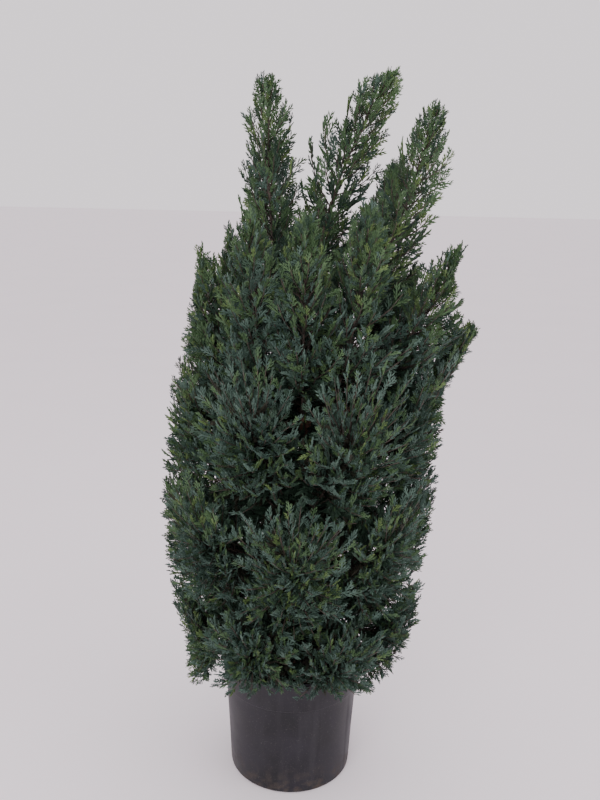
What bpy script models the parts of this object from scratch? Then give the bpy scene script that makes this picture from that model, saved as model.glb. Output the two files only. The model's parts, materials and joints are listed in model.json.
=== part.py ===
"""Potted Ellwoodii Lawson cypress: a turned nursery pot with its soil, a tapering trunk,
steep boughs, and plumes and tufts of foliage that each keep to their own space.

Metres, +Z up. The origin is the centre of the pot's flat underside and -Y is the front.
"""
import math
import random

import bmesh
import bpy
import numpy as np
from mathutils import Matrix, Vector

CLEARANCE = 0.0003  # between solids that would touch on the real plant
TRUNK_CLEARANCE = 0.00048  # from the round trunk to the flat end of a bough or stem

# pot: a plain container of about three and a half litres
FOOT_RADIUS = 0.0795
FOOT_CORNER = 0.004
COLLAR_HEIGHT = 0.125  # lower edge of the collar
COLLAR_RADIUS = 0.0885
COLLAR_STEP = 0.0028
RIM_HEIGHT = 0.165
RIM_RADIUS = 0.0912
RIM_BEAD = 0.0016
POT_WALL = 0.0018
POT_FLOOR = 0.0024
POT_SIDES = 36
DRAIN_HOLES = 6
DRAIN_RADIUS = 0.006
DRAIN_CIRCLE = 0.055
DRAIN_SIDES = 10

# soil
SOIL_TOP = 0.145
SOIL_DOME = 0.002  # fall from the middle to the edge
SOIL_FLAT = 0.030

# trunk
TRUNK_FOOT = SOIL_TOP + CLEARANCE
TRUNK_TOP = 0.600
TRUNK_RADIUS = 0.0080
TRUNK_TOP_RADIUS = 0.0028
FLARE_RADIUS = 0.0135
FLARE_HEIGHT = 0.018
TRUNK_SIDES = 12
TRUNK_RINGS = 12
TRUNK_LEAN = Vector((0.012, 0.004))  # how far the top stands off the foot's axis
TRUNK_SWAY = 0.003

# boughs and the stems of the masses
BOUGH_RADIUS = 0.0040
BOUGH_TIP_RADIUS = 0.0024
BOUGH_SIDES = 6
BOUGH_RINGS = 5
STEM_RADIUS = 0.0022
STEM_TIP_RADIUS = 0.0007
STEM_SIDES = 4
STEM_RINGS = 4

# foliage blades: each stands for a flat spray
BLADE_WIDTH = 0.50  # of its length
BLADE_THICKNESS = 0.045  # of its length, at the middle
BLADE_SIDE = ((0.0, 0.08), (0.50, 0.50), (0.57, 0.20), (0.82, 0.32))
BLADE_TRIALS = (1.0, 0.85, 0.7, 0.55)
BLADE_ROLLS = (0.0, 60.0, 120.0)
BLADE_SINK = 0.62  # of the core's reach, from its middle to a blade's root
GOLDEN_ANGLE = math.radians(137.508)

# the space that a mass keeps to
SPACE_MARGIN = 0.0008
LIMB_MARGIN = 0.0010
POT_MARGIN = 0.0020
CORE_MARGIN = 0.0024
CORE_POT_MARGIN = 0.012
CORE_LIMB_MARGIN = 0.0035
ROOM_STEP = 0.004

# the cores that blades stand out of
PLUME_CORE_SIDES = 6
PLUME_CORE_RINGS = 4
PLUME_CORE_INSET = 0.94  # of the envelope
TUFT_CORE_INSET = 0.85
TUFT_CORE_PLACE = 0.66  # of the stem's length
TUFT_SPREAD = math.radians(80)

# height, reach to the left, to the right, to the front and back
ENVELOPE = (
    (0.120, 0.122, 0.088, 0.110),
    (0.145, 0.143, 0.125, 0.128),
    (0.180, 0.136, 0.146, 0.136),
    (0.230, 0.155, 0.172, 0.146),
    (0.300, 0.165, 0.166, 0.155),
    (0.370, 0.170, 0.180, 0.162),
    (0.440, 0.165, 0.180, 0.162),
    (0.520, 0.156, 0.175, 0.156),
    (0.590, 0.134, 0.212, 0.146),
    (0.660, 0.118, 0.176, 0.132),
    (0.700, 0.092, 0.184, 0.122),
    (0.790, 0.079, 0.172, 0.105),
    (0.846, 0.070, 0.158, 0.085),
    (0.882, 0.050, 0.104, 0.060),
)

# name, tip, height on the trunk, share of the curve that is bough, bend, plume width,
# core radius low and high on the plume, blades
LEADERS = (
    ("left_leader", (-0.041, 0.004, 0.873), 0.474, 0.26, 0.98, 0.042, 0.028, 0.009, 10),
    ("right_leader", (0.151, -0.006, 0.845), 0.478, 0.26, 0.62, 0.046, 0.030, 0.010, 10),
    ("front_left_plume", (-0.056, -0.086, 0.725), 0.400, 0.26, 0.92, 0.046, 0.032, 0.012, 8),
    ("front_plume", (0.006, -0.108, 0.720), 0.430, 0.26, 0.92, 0.046, 0.032, 0.012, 8),
    ("front_right_plume", (0.072, -0.088, 0.735), 0.415, 0.26, 0.92, 0.046, 0.032, 0.012, 8),
    ("right_plume", (0.184, -0.032, 0.692), 0.440, 0.28, 0.66, 0.050, 0.030, 0.012, 8),
    ("right_shoulder", (0.211, 0.010, 0.592), 0.385, 0.28, 0.70, 0.050, 0.030, 0.012, 8),
    ("left_shoulder", (-0.115, -0.026, 0.684), 0.425, 0.26, 0.90, 0.048, 0.032, 0.012, 8),
    ("left_back_plume", (-0.090, 0.070, 0.705), 0.410, 0.26, 0.90, 0.048, 0.032, 0.012, 8),
    ("back_left_leader", (-0.046, 0.072, 0.800), 0.446, 0.28, 0.92, 0.044, 0.030, 0.010, 8),
    ("back_plume", (0.030, 0.108, 0.728), 0.435, 0.26, 0.90, 0.048, 0.032, 0.012, 8),
    ("back_right_leader", (0.118, 0.072, 0.782), 0.460, 0.28, 0.80, 0.046, 0.030, 0.010, 8),
    ("right_back_plume", (0.148, 0.086, 0.660), 0.395, 0.26, 0.78, 0.048, 0.032, 0.012, 8),
)
MIDDLE_LEADER_TIP = Vector((0.100, -0.008, 0.8815))
MIDDLE_LEADER_BEND = Vector((0.020, 0.002, 0.755))
MIDDLE_LEADER_SIZES = (0.042, 0.028, 0.010, 11)

# name, count, first azimuth, height on the trunk, rise from mass to mass, tip height,
# how far along the envelope the tips reach, blades
RINGS = (
    ("upper_side", 7, 26.0, 0.325, 0.006, 0.530, 0.99, 8),
    ("belly", 7, 0.0, 0.255, 0.006, 0.355, 0.99, 8),
    ("skirt", 7, 26.0, 0.190, 0.006, 0.185, 0.98, 8),
)
TUFT_REACH = 0.110  # furthest that a tuft's core or blade goes from its middle

COLOURS = {
    "pot": (0.030, 0.031, 0.036, 0.5),
    "soil": (0.045, 0.030, 0.020, 0.95),
    "trunk": (0.140, 0.085, 0.060, 0.85),
    "bough": (0.120, 0.070, 0.055, 0.85),
    "leader": (0.045, 0.110, 0.045, 0.7),
    "upper_side": (0.035, 0.095, 0.055, 0.7),
    "belly": (0.030, 0.085, 0.060, 0.7),
    "skirt": (0.035, 0.090, 0.055, 0.7),
}


def clear_scene():
    for item in list(bpy.data.objects):
        bpy.data.objects.remove(item, do_unlink=True)


def material(name, kind):
    """A Principled material with the kind's colour and roughness."""
    red, green, blue, rough = COLOURS[kind]
    made = bpy.data.materials.new(name)
    made.use_nodes = True
    shader = made.node_tree.nodes["Principled BSDF"]
    shader.inputs["Base Color"].default_value = (red, green, blue, 1.0)
    shader.inputs["Roughness"].default_value = rough
    shader.inputs["Metallic"].default_value = 0.0
    made.diffuse_color = (red, green, blue, 1.0)
    return made


def add_object(name, mesh, kind=None):
    made = bpy.data.objects.new(name, mesh)
    bpy.context.scene.collection.objects.link(made)
    if kind:
        mesh.materials.clear()
        mesh.materials.append(material(name, kind))
    return made


def mesh_from(name, points, faces):
    mesh = bpy.data.meshes.new(name)
    mesh.from_pydata([tuple(p) for p in points], [], faces)
    shape = bmesh.new()
    shape.from_mesh(mesh)
    bmesh.ops.recalc_face_normals(shape, faces=shape.faces)
    shape.to_mesh(mesh)
    shape.free()
    mesh.update()
    return mesh


def turned(name, profile, sides):
    """A closed turned solid from (radius, height) points that start and end on the axis."""
    inner = profile[1:-1]
    points = [(0.0, 0.0, profile[0][1]), (0.0, 0.0, profile[-1][1])]
    for k in range(sides):
        turn = math.tau * k / sides
        points += [(r * math.sin(turn), -r * math.cos(turn), z) for r, z in inner]
    count = len(inner)
    faces = []
    for k in range(sides):
        a, b = 2 + k * count, 2 + (k + 1) % sides * count
        faces.append((0, a, b))
        faces.append((1, b + count - 1, a + count - 1))
        for j in range(count - 1):
            faces.append((a + j, a + j + 1, b + j + 1, b + j))
    return mesh_from(name, points, faces)


def pot_outer():
    """Outer profile of the pot, from the foot to the top of the rim bead."""
    return [
        (FOOT_RADIUS - FOOT_CORNER, 0.0),
        (FOOT_RADIUS - FOOT_CORNER * 0.3, FOOT_CORNER * 0.3),
        (FOOT_RADIUS, FOOT_CORNER),
        (COLLAR_RADIUS - COLLAR_STEP, COLLAR_HEIGHT - COLLAR_STEP),
        (COLLAR_RADIUS, COLLAR_HEIGHT),
        (RIM_RADIUS, RIM_HEIGHT - 4 * RIM_BEAD),
        (RIM_RADIUS + RIM_BEAD, RIM_HEIGHT - 3 * RIM_BEAD),
        (RIM_RADIUS + RIM_BEAD, RIM_HEIGHT - RIM_BEAD),
        (RIM_RADIUS, RIM_HEIGHT),
    ]


def pot_inner():
    """Inner profile of the pot, from the rim down to the floor."""
    return [
        (RIM_RADIUS - POT_WALL, RIM_HEIGHT),
        (COLLAR_RADIUS - POT_WALL, COLLAR_HEIGHT),
        (COLLAR_RADIUS - COLLAR_STEP - POT_WALL, COLLAR_HEIGHT - COLLAR_STEP),
        (FOOT_RADIUS - POT_WALL, FOOT_CORNER + POT_FLOOR),
        (FOOT_RADIUS - POT_WALL - FOOT_CORNER * 0.6, POT_FLOOR),
    ]


def make_pot():
    profile = [(0.0, 0.0)] + pot_outer() + pot_inner() + [(0.0, POT_FLOOR)]
    pot = add_object("pot", turned("pot", profile, POT_SIDES), "pot")
    shape = bmesh.new()
    for k in range(DRAIN_HOLES):
        turn = math.tau * (k + 0.5) / DRAIN_HOLES
        place = Vector((DRAIN_CIRCLE * math.sin(turn), -DRAIN_CIRCLE * math.cos(turn), 0.0))
        bmesh.ops.create_cone(
            shape,
            cap_ends=True,
            segments=DRAIN_SIDES,
            radius1=DRAIN_RADIUS,
            radius2=DRAIN_RADIUS,
            depth=6 * POT_FLOOR,
            matrix=Matrix.Translation(place),
        )
    mesh = bpy.data.meshes.new("drain_cutter")
    shape.to_mesh(mesh)
    shape.free()
    cutter = add_object("drain_cutter", mesh)
    cutter.hide_render = True
    cutter.display_type = "WIRE"
    cut = pot.modifiers.new("drain_holes", "BOOLEAN")
    cut.operation = "DIFFERENCE"
    cut.object = cutter
    return pot


def make_soil():
    """The soil fills the pot to its top with a clearance all round."""
    radius_at = sorted((z, r - CLEARANCE) for r, z in pot_inner())
    walls = [(r, z) for z, r in radius_at if POT_FLOOR < z < SOIL_TOP]
    edge = interpolate(SOIL_TOP - SOIL_DOME, radius_at)
    floor = radius_at[0]
    profile = (
        [(0.0, POT_FLOOR + CLEARANCE), (floor[1], POT_FLOOR + CLEARANCE)]
        + walls
        + [(edge, SOIL_TOP - SOIL_DOME), (SOIL_FLAT, SOIL_TOP), (0.0, SOIL_TOP)]
    )
    return add_object("soil", turned("soil", profile, POT_SIDES), "soil")


def interpolate(at, pairs):
    """Linear reading of a sorted list of (place, value) pairs."""
    for (a, u), (b, v) in zip(pairs, pairs[1:]):
        if at <= b:
            share = max(0.0, (at - a) / (b - a))
            return u + (v - u) * share
    return pairs[-1][1]


def reach(z, side):
    """Reach of the crown at heights: side 1 is left, 2 right, 3 front and back."""
    return np.interp(z, [row[0] for row in ENVELOPE], [row[side] for row in ENVELOPE])


def within_envelope(points, share=1.0):
    x, y, z = points.T
    wide = np.where(x > 0, reach(z, 2), reach(z, 1)) * share
    deep = reach(z, 3) * share
    tall = (z < ENVELOPE[-1][0]) & (z > ENVELOPE[0][0])
    return tall & ((x / wide) ** 2 + (y / deep) ** 2 <= 1.0)


def clear_of_pot(points, margin):
    """Foliage stays above the rim or outside it."""
    x, y, z = points.T
    return (z > RIM_HEIGHT + margin) | (np.hypot(x, y) > RIM_RADIUS + RIM_BEAD + margin)


def trunk_point(z):
    share = (z - TRUNK_FOOT) / (TRUNK_TOP - TRUNK_FOOT)
    sway = TRUNK_SWAY * math.sin(math.tau * share)
    return Vector((TRUNK_LEAN.x * share * share - sway, TRUNK_LEAN.y * share + sway, z))


def trunk_radius(z):
    share = (z - TRUNK_FOOT) / (TRUNK_TOP - TRUNK_FOOT)
    plain = TRUNK_RADIUS + (TRUNK_TOP_RADIUS - TRUNK_RADIUS) * share
    flare = (FLARE_RADIUS - TRUNK_RADIUS) * math.exp(-(z - TRUNK_FOOT) / FLARE_HEIGHT * 1.6)
    return plain + flare


def ring_at(centre, tangent, radius, sides, across=None):
    """Points of a ring round a limb; across gives the ring's normal where it isn't the tangent."""
    normal = (across or tangent).normalized()
    side = normal.cross(Vector((0.13, -0.97, 0.21))).normalized()
    other = normal.cross(side)
    turns = [math.tau * k / sides for k in range(sides)]
    return [centre + side * math.cos(t) * radius + other * math.sin(t) * radius for t in turns]


def tube(name, rings):
    """A closed tube through rings of the same number of points."""
    sides = len(rings[0])
    points = [p for ring in rings for p in ring]
    faces = []
    for j in range(len(rings) - 1):
        for k in range(sides):
            a, b = j * sides + k, j * sides + (k + 1) % sides
            faces.append((a, b, b + sides, a + sides))
    faces.append(tuple(range(sides)))
    faces.append(tuple(len(points) - sides + k for k in range(sides)))
    return mesh_from(name, points, faces)


def make_trunk():
    rings = []
    for j in range(TRUNK_RINGS + 1):
        share = (j / TRUNK_RINGS) ** 1.5
        z = TRUNK_FOOT + (TRUNK_TOP - TRUNK_FOOT) * share
        rings.append(ring_at(trunk_point(z), Vector((0, 0, 1)), trunk_radius(z), TRUNK_SIDES))
    return add_object("trunk", tube("trunk", rings), "trunk")


class Limb:
    """A curve from the trunk to a tip: the bough first, where there is one, then the stem."""

    def __init__(self, name, kind, curve, bough_share, sizes):
        self.name, self.kind, self.bough_share = name, kind, bough_share
        self.root, self.bend, self.tip = curve
        self.width, self.core_low, self.core_high, self.blades = sizes
        self.seed = sum(ord(letter) * (n + 1) for n, letter in enumerate(name))
        self.first = bough_share + 0.06

    def at(self, s):
        a, b, c = (1 - s) ** 2, 2 * s * (1 - s), s * s
        return self.root * a + self.bend * b + self.tip * c

    def tangent(self, s):
        return ((self.bend - self.root) * (1 - s) + (self.tip - self.bend) * s).normalized()

    def direction(self, s, turn):
        """Unit vector across the curve at a share of its length."""
        tangent = self.tangent(s)
        side = tangent.cross(Vector((0.13, -0.97, 0.21))).normalized()
        return side * math.cos(turn) + tangent.cross(side) * math.sin(turn)

    def outward(self):
        """Level direction in which the limb leaves the trunk."""
        return Vector((self.bend.x - self.root.x, self.bend.y - self.root.y, 0.0)).normalized()


def leader_limbs():
    made = []
    for name, tip, height, share, bend, *sizes in LEADERS:
        root, tip = trunk_point(height), Vector(tip)
        middle = Vector((tip.x * bend, tip.y * bend, height + 0.38 * (tip.z - height)))
        made.append(Limb(name, "leader", (root, middle, tip), share, sizes))
    root = trunk_point(TRUNK_TOP) + Vector((0, 0, CLEARANCE))
    curve = (root, MIDDLE_LEADER_BEND, MIDDLE_LEADER_TIP)
    made.append(Limb("middle_leader", "leader", curve, 0.0, MIDDLE_LEADER_SIZES))
    return made


def ring_limbs():
    made = []
    for name, count, first, height, step, tip_height, share, blades in RINGS:
        for k in range(count):
            turn = math.radians(first + 360.0 * k / count)
            low = height + step * ((k * 3) % count)
            z = tip_height + 0.5 * (low - height)
            wide = reach(z, 2 if math.sin(turn) > 0 else 1) * share
            tip = Vector((wide * math.sin(turn), -reach(z, 3) * share * math.cos(turn), z))
            root = trunk_point(low)
            bend = root + (tip - root) * 0.55 + Vector((0, 0, 0.004 - 0.12 * (tip.z - low)))
            sizes = (TUFT_REACH, TUFT_REACH, TUFT_REACH, blades)
            made.append(Limb(f"{name}_{k + 1}", name, (root, bend, tip), 0.0, sizes))
    return made


def make_bough(limb):
    """The limb from the trunk's surface to where it enters its mass."""
    first, ring = base_ring(limb, BOUGH_RADIUS, BOUGH_SIDES)
    rings = [ring]
    for j in range(1, BOUGH_RINGS):
        share = j / (BOUGH_RINGS - 1)
        s = first + (limb.bough_share - first) * share
        thick = BOUGH_RADIUS + (BOUGH_TIP_RADIUS - BOUGH_RADIUS) * share
        rings.append(ring_at(limb.at(s), limb.tangent(s), thick, BOUGH_SIDES))
    name = f"bough_{limb.name}"
    return add_object(name, tube(name, rings), "bough")


def base_ring(limb, radius, sides):
    """An upright ring just clear of the trunk, and the share of the curve where it is."""
    out = limb.outward()
    for k in range(1, 400):
        centre = limb.at(k / 400)
        wanted = trunk_radius(centre.z - radius) + TRUNK_CLEARANCE
        away = (centre - trunk_point(centre.z)).dot(out)
        if away >= wanted:
            centre = centre + out * (wanted - away)
            return k / 400, ring_at(centre, limb.tangent(k / 400), radius, sides, across=out)
    raise ValueError(f"{limb.name} never leaves the trunk")


class Segments:
    """Straight stretches along curves, for measuring how far points are from them."""

    def __init__(self, curves, radii):
        starts = [a for curve in curves for a in curve[:-1]]
        ends = [b for curve in curves for b in curve[1:]]
        self.starts = np.array([tuple(p) for p in starts])
        self.along = np.array([tuple(p) for p in ends]) - self.starts
        self.squares = (self.along**2).sum(1)
        self.owner = np.array([k for k, curve in enumerate(curves) for _ in curve[1:]])
        self.radii = np.array([r for radius in radii for r in radius])

    def distances(self, points):
        """Distance of each point from each stretch's surface."""
        offset = points[:, None, :] - self.starts[None]
        share = np.clip((offset * self.along[None]).sum(2) / self.squares[None], 0.0, 1.0)
        apart = np.linalg.norm(offset - share[..., None] * self.along[None], axis=2)
        return apart - self.radii[None]


class Space:
    """Which mass a point belongs to, and whether it is clear of the limbs and the pot."""

    def __init__(self, limbs):
        self.limbs = limbs
        low, high = TRUNK_FOOT, TRUNK_TOP + 0.003
        heights = [low + (high - low) * (k / 14) ** 1.5 for k in range(15)]
        trunk = [trunk_point(z) for z in heights]
        curves = [[limb.at(k / 14) for k in range(15)] for limb in limbs]
        for number, limb in enumerate(limbs):
            if limb.name == "middle_leader":
                curves[number] = trunk + curves[number]
        self.curves = Segments(curves, [[0.0] * (len(curve) - 1) for curve in curves])
        boughs = [limb for limb in limbs if limb.bough_share]
        woody = [[limb.at(limb.bough_share * k / 8) for k in range(9)] for limb in boughs]
        radii = [[BOUGH_RADIUS] * 8 for limb in boughs]
        self.woody = Segments(woody + [trunk], radii + [[trunk_radius(z) for z in heights[:-1]]])

    def own(self, number, points, margin):
        """Whether each point lies in the space of one mass."""
        apart = self.curves.distances(points)
        mine = self.curves.owner == number
        return apart[:, mine].min(axis=1) + 2 * margin < apart[:, ~mine].min(axis=1)

    def free(self, number, points, share, margins):
        """Whether each point is in the mass's space, in the envelope and clear of the rest."""
        points = np.array([tuple(p) for p in points])
        between, limb, pot = margins
        good = within_envelope(points, share) & clear_of_pot(points, pot)
        good &= self.own(number, points, between)
        return good & (self.woody.distances(points).min(axis=1) > limb)

    def room(self, number, start, unit, limit, share, margins):
        """How far a ray goes from its start before it leaves the mass's space."""
        steps = np.arange(1, int(limit / ROOM_STEP) + 1) * ROOM_STEP
        good = self.free(number, [start + unit * d for d in steps], share, margins)
        blocked = np.flatnonzero(~good)
        return steps[-1] if not len(blocked) else ROOM_STEP * max(1, blocked[0])


BLADE_MARGINS = (SPACE_MARGIN, LIMB_MARGIN, POT_MARGIN)
CORE_MARGINS = (CORE_MARGIN, CORE_LIMB_MARGIN, CORE_POT_MARGIN)


def blade_points(root, along, normal, length):
    """Outline of a toothed blade, then its upper and lower middle."""
    side = along.cross(normal).normalized()
    up = side.cross(along).normalized()
    width = BLADE_WIDTH * length
    outline = [root + along * length * u + side * width * v for u, v in BLADE_SIDE]
    outline.append(root + along * length)
    outline += [root + along * length * u - side * width * v for u, v in reversed(BLADE_SIDE)]
    middle = root + along * length * 0.5
    half = up * (BLADE_THICKNESS * length / 2)
    return outline, middle + half, middle - half


def blade_mesh(name, outline, top, bottom):
    count = len(outline)
    points = outline + [top, bottom]
    faces = []
    for k in range(count):
        after = (k + 1) % count
        faces.append((k, after, count))
        faces.append((after, k, count + 1))
    return mesh_from(name, points, faces)


def blade_samples(outline, top, bottom):
    """The points at which a blade is tested against its space."""
    edges = [(a + b) / 2 for a, b in zip(outline, outline[1:] + outline[:1])]
    return outline[1:-1] + edges[:-1] + [top, bottom]


def fitted_blade(limb, number, space, root, along, length, roll, k):
    """The largest trial of a blade that keeps to the mass's space, if any does."""
    across = along.cross(Vector((0.31, 0.17, 0.93))).normalized()
    for scale in BLADE_TRIALS:
        for turn in BLADE_ROLLS:
            normal = Matrix.Rotation(roll + math.radians(turn), 3, along) @ across
            outline, top, bottom = blade_points(root, along, normal, length * scale)
            samples = blade_samples(outline, top, bottom)
            if space.free(number, samples, 1.0, BLADE_MARGINS).all():
                return blade_mesh(f"{limb.name}_blade_{k}", outline, top, bottom)
    return None


def end_blade(limb):
    """The blade along the last stretch of the stem, which ends at the mass's tip."""
    root = limb.at(0.74)
    along = (limb.tip - root).normalized()
    normal = along.cross(Vector((0, -1, 0.2))).cross(along)
    length = (limb.tip - root).length
    return blade_mesh(f"{limb.name}_end", *blade_points(root, along, normal, length))


def plume_core_radius(limb, number, space, s, turn):
    share = (s - limb.first) / (0.9 - limb.first)
    wanted = limb.core_low + (limb.core_high - limb.core_low) * share
    unit = limb.direction(s, turn)
    return space.room(number, limb.at(s), unit, wanted, PLUME_CORE_INSET, CORE_MARGINS)


def plume_core(limb, number, space):
    """A slim core along a plume's stem."""
    last = 0.90
    rings = []
    for j in range(PLUME_CORE_RINGS):
        s = limb.first + (last - limb.first) * j / (PLUME_CORE_RINGS - 1)
        ring = []
        for k in range(PLUME_CORE_SIDES):
            turn = math.tau * (k + 0.5 * (j % 2)) / PLUME_CORE_SIDES
            radius = plume_core_radius(limb, number, space, s, turn)
            if j in (0, PLUME_CORE_RINGS - 1):
                radius *= 0.75
            ring.append(limb.at(s) + limb.direction(s, turn) * radius)
        rings.append(ring)
    return closed_core(f"{limb.name}_core", rings, limb.at(limb.first - 0.03), limb.at(last + 0.03))


def plume_blades(limb, number, space):
    """Blades that rise from a plume's stem by the golden angle."""
    rng = random.Random(limb.seed)
    low = max(limb.first, 0.45)
    made = [end_blade(limb)]
    for k in range(1, 3 * limb.blades):
        if len(made) == limb.blades:
            break
        share = 1 - (k * 0.618) % 1
        s = low + (0.95 - low) * share
        turn = GOLDEN_ANGLE * k + limb.seed
        lean = math.radians(62 - 30 * share + rng.uniform(-6, 6))
        radial = limb.direction(s, turn)
        sink = BLADE_SINK * plume_core_radius(limb, number, space, min(s, 0.88), turn)
        along = (limb.tangent(s) * math.cos(lean) + radial * math.sin(lean)).normalized()
        root = limb.at(s) + radial * sink * math.sin(lean)
        length = limb.width * (1.35 - 0.3 * share) * rng.uniform(0.92, 1.08)
        roll = rng.uniform(0, math.pi)
        blade = fitted_blade(limb, number, space, root, along, length, roll, k)
        if blade:
            made.append(blade)
    return made


def tuft_core(limb, number, space):
    """A core round the middle of a tuft, as large as its space and the inset allow."""
    middle = limb.at(TUFT_CORE_PLACE)
    shape = bmesh.new()
    bmesh.ops.create_icosphere(shape, subdivisions=2, radius=1.0)
    for vert in shape.verts:
        unit = vert.co.normalized()
        room = space.room(number, middle, unit, TUFT_REACH, TUFT_CORE_INSET, CORE_MARGINS)
        vert.co = middle + unit * room
    mesh = bpy.data.meshes.new(f"{limb.name}_core")
    shape.to_mesh(mesh)
    shape.free()
    return mesh


def tuft_blades(limb, number, space):
    """Blades that stand out of a tuft's core, all round the way that it faces."""
    rng = random.Random(limb.seed)
    middle = limb.at(TUFT_CORE_PLACE)
    out = (limb.tip - middle).normalized()
    side = out.cross(Vector((0, 0, 1))).normalized()
    made = [end_blade(limb)]
    for k in range(1, 3 * limb.blades):
        if len(made) == limb.blades:
            break
        share = (k * 0.618) % 1
        lean = math.acos(1 - (1 - math.cos(TUFT_SPREAD)) * (0.12 + 0.88 * share))
        turn = GOLDEN_ANGLE * k + limb.seed
        radial = side * math.cos(turn) + out.cross(side) * math.sin(turn)
        along = (out * math.cos(lean) + radial * math.sin(lean)).normalized()
        inner = space.room(number, middle, along, TUFT_REACH, TUFT_CORE_INSET, CORE_MARGINS)
        outer = space.room(number, middle, along, TUFT_REACH, 1.0, BLADE_MARGINS)
        root = middle + along * inner * BLADE_SINK
        length = max(outer - inner * BLADE_SINK, 0.03)
        roll = rng.uniform(0, math.pi)
        blade = fitted_blade(limb, number, space, root, along, length, roll, k)
        if blade:
            made.append(blade)
    return made


def closed_core(name, rings, low, high):
    sides = len(rings[0])
    points = [p for ring in rings for p in ring] + [low, high]
    faces = []
    for k in range(sides):
        after = (k + 1) % sides
        faces.append((after, k, len(points) - 2))
        top = (len(rings) - 1) * sides
        faces.append((top + k, top + after, len(points) - 1))
        for j in range(len(rings) - 1):
            a, b = j * sides + k, j * sides + after
            faces.append((a, b, b + sides))
            faces.append((a, b + sides, a + sides))
    return mesh_from(name, points, faces)


def stem_mesh(limb):
    """The stem of a mass, from its bough's tip or from the trunk's surface."""
    rings = []
    if limb.bough_share:
        s = limb.bough_share
        centre = limb.at(s) + limb.tangent(s) * CLEARANCE
        rings.append(ring_at(centre, limb.tangent(s), STEM_RADIUS, STEM_SIDES))
        first = s
    elif limb.name == "middle_leader":
        rings.append(ring_at(limb.root, Vector((0, 0, 1)), STEM_RADIUS, STEM_SIDES))
        first = 0.0
    else:
        first, ring = base_ring(limb, STEM_RADIUS, STEM_SIDES)
        rings.append(ring)
    for j in range(1, STEM_RINGS):
        s = first + (0.80 - first) * j / (STEM_RINGS - 1)
        thick = STEM_RADIUS + (STEM_TIP_RADIUS - STEM_RADIUS) * j / (STEM_RINGS - 1)
        rings.append(ring_at(limb.at(s), limb.tangent(s), thick, STEM_SIDES))
    return tube(f"{limb.name}_stem", rings)


def volume_of(shape, faces):
    total = 0.0
    for face in faces:
        corners = [v.co for v in face.verts]
        for b, c in zip(corners[1:], corners[2:]):
            total += corners[0].dot(b.cross(c)) / 6.0
    return total


def keep_main_body(mesh):
    """Keeps the largest closed body, so loose scraps and sealed hollows go."""
    shape = bmesh.new()
    shape.from_mesh(mesh)
    bmesh.ops.triangulate(shape, faces=shape.faces)
    left = set(shape.faces)
    bodies = []
    while left:
        group, queue = set(), [left.pop()]
        while queue:
            face = queue.pop()
            group.add(face)
            for edge in face.edges:
                for other in edge.link_faces:
                    if other in left:
                        left.discard(other)
                        queue.append(other)
        bodies.append((volume_of(shape, group), len(bodies), group))
    keep = max(bodies)[2]
    bmesh.ops.delete(shape, geom=[f for f in shape.faces if f not in keep], context="FACES")
    closed = all(len(edge.link_faces) == 2 for edge in shape.edges)
    shape.to_mesh(mesh)
    shape.free()
    return closed


def union(name, base, pieces, solver):
    """The union of a base mesh and a collection of pieces, as a plain mesh."""
    body = add_object(name, base.copy())
    group = bpy.data.collections.new(f"{name}_pieces")
    bpy.context.scene.collection.children.link(group)
    for piece in pieces:
        group.objects.link(bpy.data.objects.new(piece.name, piece))
    join = body.modifiers.new("join", "BOOLEAN")
    join.operation = "UNION"
    join.solver = solver
    join.operand_type = "COLLECTION"
    join.collection = group
    bpy.context.view_layer.update()
    evaluated = body.evaluated_get(bpy.context.evaluated_depsgraph_get())
    joined = bpy.data.meshes.new_from_object(evaluated)
    for item in list(group.objects) + [body]:
        bpy.data.objects.remove(item, do_unlink=True)
    bpy.data.collections.remove(group)
    return joined


def make_mass(limb, number, space):
    if limb.kind == "leader":
        pieces = plume_blades(limb, number, space) + [plume_core(limb, number, space)]
    else:
        pieces = tuft_blades(limb, number, space) + [tuft_core(limb, number, space)]
    base = stem_mesh(limb)
    for solver in ("EXACT", "MANIFOLD"):
        joined = union(limb.name, base, pieces, solver)
        if keep_main_body(joined):
            break
    print(limb.name, len(pieces), "pieces", len(joined.polygons), "triangles", solver)
    return add_object(limb.name, joined, limb.kind)


def main():
    clear_scene()
    make_pot()
    make_soil()
    make_trunk()
    limbs = leader_limbs() + ring_limbs()
    space = Space(limbs)
    for limb in limbs:
        if limb.bough_share:
            make_bough(limb)
    for number, limb in enumerate(limbs):
        make_mass(limb, number, space)


main()
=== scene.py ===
import json
import math
import random
import bpy
import bmesh
import numpy as np
from mathutils import Matrix, Vector, noise

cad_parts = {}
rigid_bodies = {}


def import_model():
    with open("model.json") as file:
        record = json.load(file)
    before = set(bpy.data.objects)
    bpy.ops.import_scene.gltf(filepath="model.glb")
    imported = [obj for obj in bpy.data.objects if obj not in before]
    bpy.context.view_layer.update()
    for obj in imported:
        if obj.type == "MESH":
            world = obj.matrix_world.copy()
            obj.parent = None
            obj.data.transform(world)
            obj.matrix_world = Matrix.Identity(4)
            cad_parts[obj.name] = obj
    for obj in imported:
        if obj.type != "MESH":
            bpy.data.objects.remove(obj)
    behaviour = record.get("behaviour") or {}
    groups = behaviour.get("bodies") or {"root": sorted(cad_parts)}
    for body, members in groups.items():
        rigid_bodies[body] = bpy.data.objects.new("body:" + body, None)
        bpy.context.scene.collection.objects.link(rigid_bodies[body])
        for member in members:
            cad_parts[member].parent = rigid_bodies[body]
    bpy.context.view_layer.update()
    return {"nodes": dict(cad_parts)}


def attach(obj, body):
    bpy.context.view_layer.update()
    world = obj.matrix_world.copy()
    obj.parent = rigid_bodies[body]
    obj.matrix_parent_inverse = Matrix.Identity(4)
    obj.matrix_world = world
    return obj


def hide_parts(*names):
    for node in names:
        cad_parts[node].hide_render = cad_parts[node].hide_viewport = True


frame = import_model()
nodeNames = sorted(frame["nodes"])
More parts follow.
